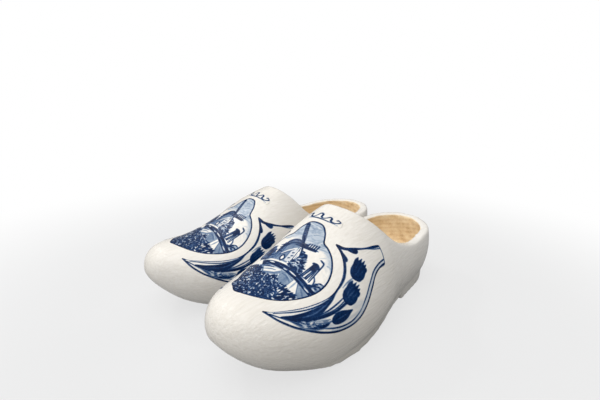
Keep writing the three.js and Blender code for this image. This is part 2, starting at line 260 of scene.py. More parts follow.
def painted_poplar(side, turn):
    """Lacquer outside and over the rim, bare poplar in the hollow, and a thin ragged line between them."""
    finish = Finish(side + "_painted_poplar")
    colour, roughness, relief = lacquer(finish, turn)
    fibres = finish.noise(finish.along_grain(turn, FIBRE_STRETCH), FIBRE_SCALE, 3, 0.6)
    bands = finish.noise(finish.along_grain(turn, BAND_STRETCH), BAND_SCALE, 3)
    trunk = {"Vector": finish.along_grain(turn, RING_STRETCH), "Location": PITH}
    round_pith = finish.add("ShaderNodeMapping", trunk).outputs[0]
    growth = {"Vector": round_pith, "Scale": RING_SCALE, **RING_WANDER}
    rings = finish.add("ShaderNodeTexWave", growth, wave_type="RINGS", rings_direction="Y").outputs["Fac"]
    streaks = finish.number("ADD", finish.number("MULTIPLY", fibres, FIBRE_SHARE),
                            finish.number("MULTIPLY", bands, BAND_SHARE))
    figure = finish.number("ADD", streaks, finish.number("MULTIPLY", rings, RING_SHARE))
    wood = finish.tones(figure, POPLAR)
    ragged = finish.noise(finish.along_grain(turn, RAGGED_STRETCH), RAGGED_SCALE, 3)
    edge = finish.number("ADD", finish.attribute("hollow"), finish.spread(ragged, *NOISE_RUN, *RAGGED))
    thin = finish.spread(edge, SEALER_LINE - THIN_BAND, SEALER_LINE)
    bare = finish.spread(edge, SEALER_LINE, SEALER_LINE + BARE_BAND)
    worn = finish.mix(finish.number("MULTIPLY", thin, THIN_SHARE), colour, (*THIN_LACQUER, 1))
    finish.links.new(finish.mix(bare, worn, wood), finish.shader.inputs["Base Color"])
    rough = finish.spread(fibres, *NOISE_RUN, *WOOD_ROUGHNESS)
    finish.links.new(finish.add("ShaderNodeMix", {0: bare, 2: roughness, 3: rough}).outputs[0],
                     finish.shader.inputs["Roughness"])
    scoops = finish.noise(finish.along_grain(turn, KNIFE_STRETCH), KNIFE_SCALE, 1)
    depth = finish.number("MULTIPLY", fibres, bare)
    knife = finish.number("MULTIPLY", scoops, bare)
    carved_relief = finish.bump(knife, KNIFE_DEPTH, KNIFE_STRENGTH, relief)
    finish.links.new(finish.bump(depth, FIBRE_DEPTH, FIBRE_STRENGTH, carved_relief),
                     finish.shader.inputs["Normal"])
    finish.shader.inputs["IOR"].default_value = LACQUER_IOR
    finish.shader.inputs["Specular IOR Level"].default_value = LACQUER_SPECULAR
    return finish


clogs = {}
lies = {}
for side in ("left", "right"):
    lies[side] = Lie(side)
    clogs[side] = carved(side)
    painted_poplar(side, lies[side].turn).put_on(clogs[side])
    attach(clogs[side], side + "_clog")
    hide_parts(side + "_clog_body")

# --- The transfers ---
# The pictures are printed in blue on clear film, soaked off their paper, slid on over the white lacquer
# while it is wet and varnished over. Each is drawn flat here, cut out along its edge and laid on.
PITCH = 0.42                     # distance between a sheet's points
MM_PER_DEGREE = 0.8
DRAWN_LENGTH = 294.0             # the clog that the sheets are drawn for
AXIS_HEIGHT = 0.040              # height of the line that the sheets are wrapped round
MIDDLE = 3.5                     # how far the art's middle is turned in from the top
REACH = 0.2                      # where the rays that find the lacquer start
FILM_PROUD = 0.00009
FILM_THICKNESS = 0.00018
DAB_LENGTHS, DAB_WIDTHS = (0.6, 1.3), (0.7, 1.3)       # the shares of its size that a dab may have
DAB_LEAN, DAB_SAG = 18, 0.3      # how far a dab may lean off its way and bow


def curve(points, steps=7, closed=False):
    """A smooth line through the points, whose columns may hold a width as well."""
    knots = np.array(points, float)
    if closed:
        ends = np.vstack([knots[-1:], knots, knots[:2]])
    else:
        ends = np.vstack([2 * knots[0] - knots[1], knots, 2 * knots[-1] - knots[-2]])
    t = np.linspace(0, 1, steps, endpoint=False)[:, None]
    pieces = []
    for a, b, c, d in zip(ends, ends[1:], ends[2:], ends[3:]):
        pieces.append(b + (c - a) * t / 2 + (2 * a - 5 * b + 4 * c - d) * t**2 / 2
                      + (3 * b - a - 3 * c + d) * t**3 / 2)
    return np.vstack(pieces if closed else [*pieces, knots[-1:]])


class Sheet:
    """A flat sheet and the ink on each of its points, from 0 for white to 1 for the deepest blue.

    It is measured in degrees round the clog and in millimetres from the toe tip.
    """

    def __init__(self, left, right, toe, heel):
        self.edges = (left, right, toe, heel)
        self.around = np.arange(left, right, PITCH / MM_PER_DEGREE)
        self.along = np.arange(toe, heel, PITCH)
        self.ink = np.zeros((len(self.along), len(self.around)))

    def clean(self):
        """Another sheet of this size, with no ink on it."""
        return Sheet(*self.edges)

    def window(self, points, margin):
        """The part of the sheet round these points, with the places of its points in millimetres."""
        low, high = points.min(0), points.max(0)
        columns = slice(*np.searchsorted(self.around * MM_PER_DEGREE, (low[0] - margin, high[0] + margin)))
        rows = slice(*np.searchsorted(self.along, (low[1] - margin, high[1] + margin)))
        x, y = np.meshgrid(self.around[columns] * MM_PER_DEGREE, self.along[rows])
        return (rows, columns), x, y

    def lay(self, window, cover, tone):
        """Takes the ink in a part of the sheet towards a tone, as far as the cover says."""
        self.ink[window] += (tone - self.ink[window]) * cover

    def stroke(self, points, width, tone, closed=False):
        """A brush stroke. A point may carry its own width, as a share of the stroke's."""
        rows = [(*point, 1) if len(point) == 2 else point for point in points]
        line = curve(rows, closed=closed)
        line[:, 0] *= MM_PER_DEGREE
        line[:, 2] *= width / 2
        window, x, y = self.window(line[:, :2], width)
        edge = np.full(x.shape, -9.0)
        following = np.roll(line, -1, 0) if closed else line[1:]
        for (ax, ay, ar), (bx, by, br) in zip(line, following):
            reach = max((bx - ax) ** 2 + (by - ay) ** 2, 1e-9)
            t = np.clip(((x - ax) * (bx - ax) + (y - ay) * (by - ay)) / reach, 0, 1)
            away = np.hypot(x - ax - t * (bx - ax), y - ay - t * (by - ay))
            edge = np.maximum(edge, ar + t * (br - ar) - away)
        self.lay(window, np.clip(0.5 + edge / PITCH, 0, 1), tone)

    def patch(self, points, tone, soft=PITCH, smooth=True):
        """A patch of colour inside an outline."""
        outline = curve(points, closed=True) if smooth else np.array(points, float)
        outline = outline * (MM_PER_DEGREE, 1)
        window, x, y = self.window(outline, soft)
        inside = np.zeros(x.shape, bool)
        away = np.full(x.shape, 99.0)
        for (ax, ay), (bx, by) in zip(outline, np.roll(outline, -1, 0)):
            crosses = (ay > y) != (by > y)
            rise = by - ay if by != ay else 1e-9
            inside ^= crosses & (x < ax + (y - ay) * (bx - ax) / rise)
            reach = max((bx - ax) ** 2 + (by - ay) ** 2, 1e-9)
            t = np.clip(((x - ax) * (bx - ax) + (y - ay) * (by - ay)) / reach, 0, 1)
            away = np.minimum(away, np.hypot(x - ax - t * (bx - ax), y - ay - t * (by - ay)))
        cover = np.clip(0.5 + np.where(inside, away, -away) / soft, 0, 1)
        self.lay(window, cover, tone)

    def dabs(self, rng, outline, count, size, lean, tones):
        """Short strokes of a loaded brush, of about one size and lean, scattered inside an outline."""
        ring = curve(outline, closed=True)
        low, high = ring.min(0), ring.max(0)
        laid = 0
        while laid < count:
            place = rng.uniform(low, high)
            if not inside_ring(place, ring):
                continue
            laid += 1
            length = size[0] * rng.uniform(*DAB_LENGTHS)
            angle = math.radians(lean + rng.normal(0, DAB_LEAN))
            reach = np.array((math.cos(angle) / MM_PER_DEGREE, math.sin(angle))) * length / 2
            sag = np.array((-reach[1], reach[0])) * rng.uniform(-DAB_SAG, DAB_SAG)
            ends = ((*(place - reach), 0.35), (*(place + sag), 1), (*(place + reach), 0.25))
            self.stroke(ends, size[1] * rng.uniform(*DAB_WIDTHS), rng.choice(tones))


def inside_ring(place, ring):
    """Whether a place lies inside a closed ring of points."""
    following = np.roll(ring, -1, 0)
    crosses = (ring[:, 1] > place[1]) != (following[:, 1] > place[1])
    rise = np.where(following[:, 1] == ring[:, 1], 1e-9, following[:, 1] - ring[:, 1])
    across = ring[:, 0] + (place[1] - ring[:, 1]) * (following[:, 0] - ring[:, 0]) / rise
    return bool((crosses & (place[0] < across)).sum() % 2)


class Ground:
    """The lacquered skin of a clog, as its distance from the line that the sheets are wrapped round."""

    def __init__(self, side):
        self.lie = lies[side]
        self.middle = -MIDDLE if side == "left" else MIDDLE
        mesh = clogs[side].data
        self.tree = BVHTree.FromPolygons([v.co for v in mesh.vertices], [p.vertices for p in mesh.polygons])

    def spokes(self, around, along):
        """The start on the axis, and the way out, of the line through each point of a sheet."""
        angle = np.radians(around + self.middle)
        start = self.lie.toe + np.outer(along / DRAWN_LENGTH * self.lie.length, self.lie.heelwards)
        start[:, 2] = AXIS_HEIGHT
        out = np.outer(np.sin(angle), self.lie.rightwards)
        out[:, 2] = np.cos(angle)
        return start, out

    def distances(self, around, along):
        """How far from the axis the lacquer lies under each point of a sheet."""
        start, out = self.spokes(around, along)
        far = []
        for a, b in zip(start, out):
            hit = self.tree.ray_cast(Vector(a + REACH * b), Vector(-b))
            far.append(REACH - hit[3] if hit[0] is not None else np.nan)
        return np.array(far)


def evened(field, passes=6):
    """The field with its small ripples taken out."""
    for _ in range(passes):
        padded = np.pad(field, 1, mode="edge")
        field = (4 * field + padded[2:, 1:-1] + padded[:-2, 1:-1]
                 + padded[1:-1, 2:] + padded[1:-1, :-2]) / 8
    return field


def read_grid(field, rows, columns):
    """The values of a grid between its points."""
    r = np.clip(rows, 0, field.shape[0] - 1.001)
    c = np.clip(columns, 0, field.shape[1] - 1.001)
    i, j = r.astype(int), c.astype(int)
    u, v = r - i, c - j
    return ((1 - u) * (1 - v) * field[i, j] + u * (1 - v) * field[i + 1, j]
            + (1 - u) * v * field[i, j + 1] + u * v * field[i + 1, j + 1])


def cut_out(name, sheet, outline):
    """The sheet as a flat grid of faces, trimmed to its outline."""
    rows, columns = sheet.ink.shape
    bpy.ops.mesh.primitive_grid_add(x_subdivisions=columns - 1, y_subdivisions=rows - 1, size=1)
    film = bpy.context.active_object
    film.name = name
    film.data.name = name
    flat = places(film.data)
    ring = curve(outline, closed=True)
    row = np.rint((flat[:, 1] + 0.5) * (rows - 1)).astype(int)
    column = np.rint((flat[:, 0] + 0.5) * (columns - 1)).astype(int)
    kept = sheet.clean()
    kept.patch(ring, 1, smooth=False)
    outside = kept.ink[row, column] < 0.5
    around, along = sheet.around[column], sheet.along[row]
    film.data.vertices.foreach_set("co", np.stack([around, along, 0 * along], 1).ravel())
    only(film)
    bpy.ops.object.mode_set(mode="EDIT")
    bpy.ops.mesh.select_all(action="DESELECT")
    bpy.ops.object.mode_set(mode="OBJECT")
    film.data.vertices.foreach_set("select", outside)
    bpy.ops.object.mode_set(mode="EDIT")
    bpy.ops.mesh.delete(type="VERT")
    bpy.ops.mesh.select_all(action="SELECT")
    bpy.ops.mesh.delete_loose()
    bpy.ops.mesh.select_all(action="DESELECT")
    bpy.ops.mesh.select_non_manifold()
    bpy.ops.object.mode_set(mode="OBJECT")
    flat = places(film.data)
    border = np.empty(len(flat), bool)
    film.data.vertices.foreach_get("select", border)
    flat[border, :2] = nearest_on_ring(flat[border, :2], ring)
    film.data.vertices.foreach_set("co", flat.astype(np.float32).ravel())
    return film


def nearest_on_ring(points, ring):
    """The places on a closed ring that lie nearest to some points."""
    scale = np.array((MM_PER_DEGREE, 1))
    at, a = points * scale, ring * scale
    step = np.roll(a, -1, 0) - a
    t = ((at[:, None] - a) * step).sum(2) / np.maximum((step**2).sum(1), 1e-9)
    near = a + np.clip(t, 0, 1)[..., None] * step
    best = np.argmin(((near - at[:, None]) ** 2).sum(2), 1)
    return near[np.arange(len(at)), best] / scale


def lay_on(film, side, sheet, hand=1):
    """Wraps a cut film round its clog. A hand of -1 turns the sheet over, left to right."""
    ground = Ground(side)
    around, along = np.meshgrid(hand * sheet.around, sheet.along)
    far = ground.distances(around.ravel(), along.ravel()).reshape(around.shape)
    far = evened(np.where(np.isnan(far), np.nanmedian(far), far))
    flat = places(film.data)
    rows = (flat[:, 1] - sheet.along[0]) / PITCH
    columns = (flat[:, 0] - sheet.around[0]) * MM_PER_DEGREE / PITCH
    start, out = ground.spokes(hand * flat[:, 0], flat[:, 1])
    reach = read_grid(far, rows, columns) + FILM_PROUD
    store(film.data, "ink", read_grid(sheet.ink, rows, columns))
    film.data.vertices.foreach_set("co", (start + out * reach[:, None]).astype(np.float32).ravel())
    film.data.update()
    if (outwards(film.data) * out).sum() < 0:
        only(film)
        bpy.ops.object.mode_set(mode="EDIT")
        bpy.ops.mesh.select_all(action="SELECT")
        bpy.ops.mesh.flip_normals()
        bpy.ops.object.mode_set(mode="OBJECT")
    finish_modifier(film, "SOLIDIFY", thickness=FILM_THICKNESS, offset=-1.0)
    bpy.ops.object.shade_smooth()


PALE_WASH = (0.40, 0.47, 0.56)
SOFT_BLUE = (0.15, 0.215, 0.32)
MID_BLUE = (0.036, 0.088, 0.21)
DEEP_BLUE = (0.002, 0.025, 0.098)
BLUE_BLACK = (0.0, 0.010, 0.05)
INK = [(0.28, PALE_WASH), (0.45, SOFT_BLUE), (0.65, MID_BLUE), (0.84, DEEP_BLUE), (1.0, BLUE_BLACK)]
SETTLING_SCALE, SETTLING_RUN, SETTLING = 700, (0.25, 0.75), (0.86, 1.1)       # fine specks in the ink
DRAG_SCALE, DRAG_STRETCH, DRAG = 180, 3, (0.88, 1.08)  # long faint streaks in it
FAINTEST, FULL = 0.02, 0.3       # the ink that starts to show, and that hides the white


def printed_film(side, turn):
    """The same white lacquer as the clog's, with cobalt ink that lies unevenly on it."""
    finish = Finish(side + "_cobalt_print")
    colour, roughness, relief = lacquer(finish, turn)
    settling = finish.noise(finish.along_grain(turn, 1), SETTLING_SCALE, 3, 0.6)
    drag = finish.noise(finish.along_grain(turn, DRAG_STRETCH), DRAG_SCALE, 2)
    load = finish.number("MULTIPLY", finish.spread(settling, *SETTLING_RUN, *SETTLING),
                         finish.spread(drag, *NOISE_RUN, *DRAG))
    ink = finish.number("MULTIPLY", finish.attribute("ink"), load)
    blue = finish.tones(ink, INK)
    share = finish.spread(finish.attribute("ink"), FAINTEST, FULL)
    finish.links.new(finish.mix(share, colour, blue), finish.shader.inputs["Base Color"])
    finish.links.new(roughness, finish.shader.inputs["Roughness"])
    finish.links.new(relief, finish.shader.inputs["Normal"])
    finish.shader.inputs["IOR"].default_value = LACQUER_IOR
    finish.shader.inputs["Specular IOR Level"].default_value = LACQUER_SPECULAR
    return finish


prints = {side: printed_film(side, lies[side].turn) for side in lies}


def transfer(side, place, sheet, outline, hand):
    """Cuts a transfer out of its sheet and lays it on its clog."""
    name = f"{side}_{place}"
    film = cut_out(name + "_film", sheet, outline)
    lay_on(film, side, sheet, hand)
    prints[side].put_on(film)
    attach(film, side + "_clog")
    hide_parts(name + "_transfer")


# --- The windmill pictures ---
# Over the toes of each clog: a polder scene in a round frame with a small arch on top, printed from one
# plate and so the same way round on both feet. The plate was painted with a brush, in four or five blues.
OUTLINE_WIDTH = 1.2
BRUSH_SEED = 7
round_side = [(47, 43.5), (54, 52), (58, 61.4), (58.6, 70.6), (55.5, 80), (48, 89.1), (38, 96.1), (28, 100),
              (21, 101.7), (17.5, 105.3), (13.5, 109.7), (6, 114.4)]
round_toe = [(-42, 35), (-30, 30.3), (-16, 26.2), (0, 27.6), (18, 30.6), (35, 35.9)]
picture_edge = round_toe + round_side + [(-around, along) for around, along in reversed(round_side)]

picture = Sheet(-62, 62, 23, 118)


def line(sheet, start, stop, width, tone, bow=0.0):
    """A stroke from one place to another, thin at both ends, that may bow to its left."""
    (ax, ay), (bx, by) = start, stop
    middle = ((ax + bx) / 2 - bow * (by - ay) / MM_PER_DEGREE,
              (ay + by) / 2 + bow * (bx - ax) * MM_PER_DEGREE, 1)
    sheet.stroke([(ax, ay, 0.5), middle, (bx, by, 0.5)], width, tone)


def sky(sheet, rng):
    lobe = [(-24, 98), (-24, 104), (-14, 110), (0, 115.5), (10, 112), (20, 102), (37, 96), (52, 85),
            (44, 88), (30, 95), (14, 96)]
    sheet.patch(lobe, 0.28, soft=3)
    sheet.dabs(rng, lobe, 60, (12, 1.3), 12, (0.18, 0.26, 0.34, 0.37))
    cloud = [(38, 90), (50, 86), (56, 76), (48, 78), (40, 84)]
    sheet.dabs(rng, cloud, 12, (9, 1.6), -30, (0.02, 0.06, 0.1))


def great_mill(sheet):
    body = [(-21, 91), (1, 91), (0, 83), (-0.5, 73.5), (-32, 73.5), (-29, 79), (-24, 85)]
    sheet.patch(body, 0.5, smooth=False)
    boards = ((-29, -21, 0.85), (-26, -19, 0.66), (-22, -17, 0.75), (-18, -14, 0.5), (-8, -8, 0.6))
    for foot, head, tone in boards:
        line(sheet, (foot, 74.5), (head, 90), 1.5, tone)
    sheet.patch([(-6, 87.5), (-1, 89), (1.5, 80), (1.5, 74.5), (-7, 75), (-7, 81)], 0.16, smooth=False)
    line(sheet, (2, 89.5), (5, 74.5), 1.3, 0.95, 0.05)
    sheet.patch([(1.5, 87), (4.4, 86), (5.5, 76), (2.4, 76)], 0.03, smooth=False)
    line(sheet, (2, 89.5), (3, 75), 0.9, 0.95)
    line(sheet, (-19, 80.4), (-2, 88.4), 1.6, 0.06)
    line(sheet, (-20, 79), (-4, 86.4), 0.9, 0.8)
    for around, height in ((-3.2, 83.4), (-2, 80.6), (-4, 78)):
        sheet.stroke([(around, height, 1), (around + 2.6, height + 0.5, 0.6)], 1.2, 0.93)
    sheet.patch([(-17, 76.6), (-12.6, 80), (-8.2, 76.8), (-12.6, 73.2)], 0.95)
    sheet.patch([(-15, 76.7), (-12.8, 78.6), (-10.4, 76.8), (-12.8, 74.8)], 0.02)
    cap = [(-24, 86), (-22, 91), (-17, 94.6), (-9, 96.3), (-2, 95.4), (3.6, 92.6), (2, 90.4), (-5, 90.8),
           (-12, 90.6), (-18, 88)]
    sheet.patch(cap, 0.97)
    line(sheet, (-18, 91.6), (-2, 94), 1.0, 0.62, 0.08)
    line(sheet, (-15, 90.6), (-2, 91.8), 0.6, 0.5, 0.06)
    line(sheet, (-22.5, 91.5), (-28, 79), 1.5, 0.95)
    for height in (81.5, 84, 86.5, 89):
        sheet.stroke([(-27.5, height, 0.8), (-21.5, height + 1.2, 1)], 1.1, 0.95)
    sheet.patch([(-35, 77), (-29, 78), (-22, 76), (-30, 73.6), (-37, 74)], 0.62)


def sails(sheet):
    sheet.stroke([(2.6, 93, 0.4), (-3.4, 98.4, 0.8), (-5.6, 104, 1), (-7.8, 110.4, 1)], 3.7, 0.96)
    for step in range(6):
        share = step / 6
        left, right = (-9.2 + 4.2 * share, 109 - 10 * share), (-5.4 + 4.2 * share, 109.6 - 10 * share)
        line(sheet, left, right, 0.6, 0.55)
    line(sheet, (3, 91), (-6, 109.6), 0.9, 1.0)
    sheet.stroke([(2.4, 91.6, 1), (12, 92, 1), (20, 92.8, 0.9)], 2.4, 1.0)
    sheet.patch([(2.6, 92), (2.6, 94.6), (9, 94.9), (9, 92)], 0.98, smooth=False)
    for step in range(5):
        around = 8.4 + 2.75 * step
        sheet.stroke([(around, 92.4, 1), (around + 0.2, 95.4 + 0.4 * step, 0.9)], 1.35, 1.0)
    line(sheet, (18, 93.2), (23, 93.4), 0.8, 0.8)
    sheet.stroke([(3, 91.4, 1), (6, 87.6, 1), (8.4, 84, 1)], 1.9, 0.97)
    sheet.patch([(6.2, 88.4), (11.4, 88.2), (11.6, 84), (7, 83.6)], 0.97, smooth=False)
    line(sheet, (7.6, 87), (10.6, 86.8), 0.7, 0.4)


def trees(sheet, rng):
    clump = [(4.5, 73), (5, 78), (8, 83), (13, 86), (17, 85), (21, 81), (25, 77), (29, 71.5), (16, 71)]
    sheet.patch(clump, 0.66, soft=1)
    sheet.dabs(rng, clump, 80, (4.8, 1.5), 4, (0.98, 0.96, 0.93))
    sheet.dabs(rng, clump, 24, (4.4, 0.9), 6, (0.12, 0.3, 0.4))
    bush = [(-46, 72), (-47, 79), (-43, 86), (-37, 89), (-31, 84), (-29, 74)]
    sheet.patch(bush, 0.85, soft=1)
    sheet.dabs(rng, bush, 60, (4, 1.8), 20, (0.98, 0.95, 0.9, 0.6))
    far_bush = [(48.5, 67), (49, 71), (52, 74.5), (56, 76), (61, 72), (60, 66)]
    sheet.patch(far_bush, 0.4, soft=1)
    sheet.dabs(rng, far_bush, 34, (2.8, 1.5), 20, (0.98, 0.9, 0.6, 0.2))


def small_mill(sheet):
    sheet.patch([(30.2, 70), (30.2, 84.4), (37.8, 83.4), (40.6, 70)], 0.98, smooth=False)
    sheet.patch([(34.2, 70.6), (34.6, 78), (35.7, 78), (36.4, 70.6)], 0.06, smooth=False)
    line(sheet, (32.2, 70.6), (32.2, 79), 0.7, 0.5)
    line(sheet, (38.6, 70.6), (37.4, 77.6), 0.7, 0.4)
    sheet.stroke([(29.4, 83.9, 0.9), (34, 84.4, 1), (38.8, 82.6, 0.9)], 2.0, 1.0)
    sweep = [(32.4, 89.2, 0.8), (34.6, 88.8, 1), (38, 87.6, 1), (40.8, 80, 1), (44.6, 70, 0.8)]
    sheet.stroke(sweep, 1.25, 1.0)
    sheet.stroke([(37.6, 84, 0.8), (40, 77, 1), (42.6, 70.4, 0.8)], 0.9, 0.97)
    line(sheet, (42.8, 76), (50.6, 68.6), 1.2, 0.9, 0.1)


def dyke(sheet):
    band = [(-40, 70.6), (-34, 71.6), (-12, 72), (3, 71.8), (28, 70.4), (44, 68.4), (60, 66.6),
            (59.5, 61.4), (44, 63), (28, 65), (3, 67), (-18, 67.4), (-36, 66)]
    sheet.patch(band, 0.98, smooth=False)
    gleams = ((-27, -18, 70.6, 0.2), (3, 10, 68.6, 0.2), (14, 28, 68.8, 1.2), (47, 54, 64.4, 0.8))
    for start, stop, height, fall in gleams:
        line(sheet, (start, height), (stop, height - fall), 1.2, 0.04)
    ruts = ((-34, -16, 68.6), (-8, 14, 69.8), (30, 44, 66.9), (38, 57, 65.4))
    for start, stop, height in ruts:
        line(sheet, (start, height), (stop, height - 1.2), 0.7, 0.55)


def fields(sheet):
    sheet.patch([(-54, 63), (-36, 66), (-18, 67), (6, 66), (2, 61), (-16, 58), (-32, 59)], 0.5, soft=1.5)
    sheet.patch([(-30, 64), (-8, 66.4), (4, 66.2), (-6, 62), (-24, 59.6)], 0.05, smooth=False)
    line(sheet, (-30, 61.5), (-6, 64.2), 1.2, 0.55, 0.03)
    line(sheet, (-36, 65.4), (-12, 66), 1.0, 0.9)
    meadow = [(2, 66.4), (16, 66), (31, 64.4), (32, 57), (25, 54), (14, 55.5), (7, 60.5)]
    sheet.patch(meadow, 0.47, smooth=False)
    line(sheet, (8, 64), (28, 61), 1.4, 0.6, 0.06)
    line(sheet, (14, 65.4), (30, 62.4), 0.8, 0.3)
    sheet.patch([(38, 63.6), (58.6, 61.4), (57, 56.5), (52, 53.4)], 0.45, smooth=False)
    line(sheet, (46, 62), (57, 57), 1.1, 0.6)
    line(sheet, (35.6, 64.2), (37.6, 56), 2.2, 0.36)
    line(sheet, (38.6, 64), (52, 53), 0.7, 0.75)


def foreground(sheet, rng):
    ground = [(-60, 62), (-52, 65), (-38, 65), (-28, 60), (-20, 57.6), (-6, 57.8), (2, 60.4), (7, 60),
              (14, 56.5), (26, 54), (34, 50), (40, 44), (48, 41), (36, 32), (18, 28), (0, 25), (-16, 24),
              (-34, 31), (-50, 42), (-60, 52)]
    sheet.patch(ground, 0.82, soft=1.2)
    sheet.dabs(rng, ground, 400, (6.0, 2.2), -22, (0.98, 0.95, 0.9, 0.78))
    sheet.dabs(rng, ground, 270, (3.8, 1.2), -18, (0.05, 0.14, 0.3, 0.45))
    sheet.dabs(rng, ground, 420, (3.6, 1.25), -30, (1.0, 0.98, 0.94))
    reeds = [(30, 56), (38, 55.5), (50, 54.5), (54, 50), (48, 43), (38, 44), (30, 50)]
    sheet.patch(reeds, 0.05, soft=1.5)
    sheet.dabs(rng, reeds, 46, (3.8, 2.2), 66, (1.0, 0.98, 0.9))


brush = np.random.default_rng(BRUSH_SEED)
sky(picture, brush)
fields(picture)
great_mill(picture)
trees(picture, brush)
small_mill(picture)
sails(picture)
foreground(picture, brush)
dyke(picture)
picture.stroke(picture_edge, OUTLINE_WIDTH * 2, 0.95, closed=True)

for side in ("left", "right"):
    transfer(side, "windmill", picture, picture_edge, 1)

# --- The tulip panels ---
# On both sides of each clog, a curved panel of tulips that follows the picture's frame from the arch
# round to the toe. The two panels of a clog are mirror images, from one plate printed both ways.
panel_edge = [(45.5, 25.9), (52, 30.9), (56.5, 37), (61, 45), (64.5, 54.1), (66.3, 64.1), (66.3, 72.9),
              (64, 80.6), (60, 87.6), (55, 93.5), (47, 99.4), (38, 103.5), (28.5, 106.4), (36, 109.7),
              (41, 116.4), (45, 125), (48.3, 140.5), (52, 142.6), (64.8, 139.9), (65.8, 130), (69, 121.1),
              (76, 112.6), (83.5, 104.1), (90, 95.6), (93.8, 86.1), (94.3, 76.1), (92.5, 65.9), (88, 55),
              (82, 45.6), (74, 36.8), (62, 29.7)]

panel = Sheet(26, 97, 23, 145)


def tulip(sheet, foot, crown, width):
    """A tulip head between its foot and the middle of its crown, with jagged petal tips on its left."""
    foot, crown = np.array(foot, float), np.array(crown, float)
    up = crown - foot
    side = np.array((up[1] / MM_PER_DEGREE, -up[0] * MM_PER_DEGREE))
    side *= width / 2 / np.hypot(side[0] * MM_PER_DEGREE, side[1])

    def at(height, aside):
        return tuple(foot + up * height + side * aside)

    cup = [at(-0.02, 0.1), at(0.08, -0.62), at(0.34, -1), at(0.68, -0.98), at(0.84, -0.4), at(0.84, 0.3),
           at(0.66, 0.84), at(0.38, 1.06), at(0.1, 0.78)]
    sheet.patch(cup, 0.94)
    for aside, height in ((-0.98, 0.96), (-0.52, 1.04), (-0.1, 1.08), (0.28, 1.0), (0.62, 0.88)):
        petal = [(*at(0.4, aside * 0.7), 1), (*at(0.74, aside * 0.95), 1),
                 (*at(height, aside * 1.04), 0.12)]
        sheet.stroke(petal, width / 3.6, 0.93)
    for aside, tone in ((-0.5, 0.84), (-0.05, 0.8), (0.4, 0.84)):
        vein = [(*at(0.2, aside * 0.6), 0.2), (*at(0.5, aside), 1), (*at(0.8, aside), 0.2)]
        sheet.stroke(vein, 0.9, tone)
    sheet.stroke([(*at(0.3, -0.98), 0.2), (*at(0.1, -0.6), 1), (*at(0, 0), 1), (*at(0.12, 0.8), 1),
                  (*at(0.4, 1), 0.2)], 0.8, 1.0)


def frame_bands(sheet):
    inner = [(28.5, 106.2), (38, 102.8), (47, 98.2), (54.6, 92.6), (59.6, 86.8), (63.4, 80.2), (65.6, 73),
             (65.8, 64), (64, 54.2), (60.6, 45.2), (56, 37.4), (51.4, 31.4), (45.8, 26.4)]
    shares = (0.4, 1, 1.1, 1.1, 0.9, 0.6, 0.45, 0.4, 0.4, 0.4, 0.4, 0.4, 0.4)
    sheet.stroke([(*point, share) for point, share in zip(inner, shares)], 5.5, 0.98)
    sheet.stroke([(46, 99.8, 0.3), (54.6, 94, 1), (60.4, 87.2, 0.6)], 0.7, 0.5)
    sheet.stroke([(62, 86.4, 0.3), (65.6, 80, 1), (68.2, 72, 1), (68.6, 62, 1), (66.6, 52, 1), (62, 42, 1),
                  (54.6, 31.4, 0.8)], 1.0, 0.95)
    upper = [(28.5, 106.6, 0.4), (35.4, 108.6, 1), (40.4, 115, 1), (44.4, 124, 0.8), (47.6, 133, 0.6),
             (49.2, 141.4, 0.5)]
    sheet.stroke(upper, 4.0, 0.97)
    sheet.stroke([(38, 111.6, 0.4), (42.6, 119, 1), (46.4, 130, 0.5)], 0.6, 0.55)
    sheet.stroke([(47.4, 127, 0.6), (50, 134, 1), (51.6, 141, 1)], 0.7, 0.85)


def outer_lines(sheet):
    run = [(64.3, 140.6), (65.3, 130), (68.5, 121), (75.4, 112.3), (82.9, 103.9), (89.4, 95.3), (93.1, 86),
           (93.6, 76), (91.8, 66.2), (87.4, 55.6), (81.4, 46.4), (73.4, 37.7), (61.6, 30.7), (46, 26.4)]
    wash = [(around - 1.6, along - 0.8) for around, along in run[:9]]
    sheet.stroke(wash, 2.6, 0.2)
    sheet.stroke(run, 1.5, 0.97)
    inside = [(61, 139.6), (62, 130), (65.2, 120), (72, 110.6), (79.4, 102), (86, 93.6), (90, 85),
              (90.6, 76), (88.6, 66.6), (84.2, 56.4), (78, 47.6), (70, 39.4), (60, 32.6), (53, 29)]
    sheet.stroke(inside, 1.0, 0.93)
    sheet.stroke([(49.4, 141.8, 1), (56, 141.8, 1), (64, 140, 1)], 1.5, 0.62)


